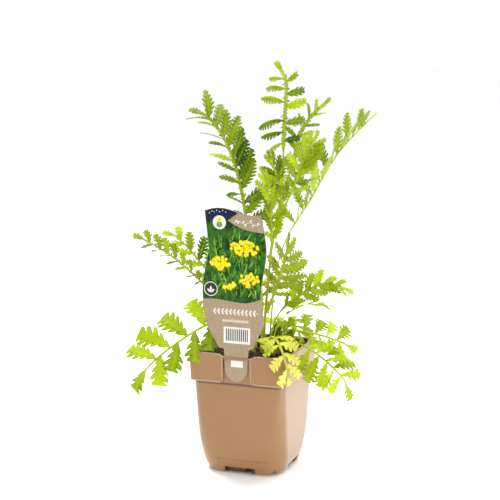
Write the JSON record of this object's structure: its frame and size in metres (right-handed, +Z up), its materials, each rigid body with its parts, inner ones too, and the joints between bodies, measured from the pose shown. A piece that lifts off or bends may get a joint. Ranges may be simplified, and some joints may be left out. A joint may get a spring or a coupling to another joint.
{
  "type": "potted tansy",
  "caption": "Young tansy with feathery toothed leaves and one leafy stem, in a square nursery pot of soil with a shaped plastic plant tag hooked in the front of its rim.",
  "frame": {"origin": "on the surface the pot stands on, at the centre of the round hub under the pot's floor", "axes": "+Z up, the pot's front face with the plant tag looks along -Y, +X to the right as seen from the front"},
  "size_m": [0.2227, 0.1998, 0.4339],
  "materials": {
    "pot": "thin terracotta-tan moulded plastic, fine satin texture, slightly see-through at its edges",
    "soil": null,
    "tag": null,
    "leaf": null,
    "yellow_leaf": null
  },
  "bodies": {
    "root": {"pot": "pot", "soil": "soil", "tag": "tag", "leafy_stem": "leaf", "frond_left_tall": "leaf", "frond_right_tall": "leaf", "frond_left_middle": "leaf", "frond_left_upper": "leaf", "frond_left_drape": "leaf", "frond_right_upper": "leaf", "frond_right_lower": "leaf", "frond_right_rim": "leaf", "frond_right_drape": "leaf", "frond_yellow": "yellow_leaf", "frond_back_tall": "leaf", "frond_back_arched": "leaf", "frond_back_drape": "leaf", "frond_back_right": "leaf", "frond_small": "leaf"}
  },
  "joints": []
}
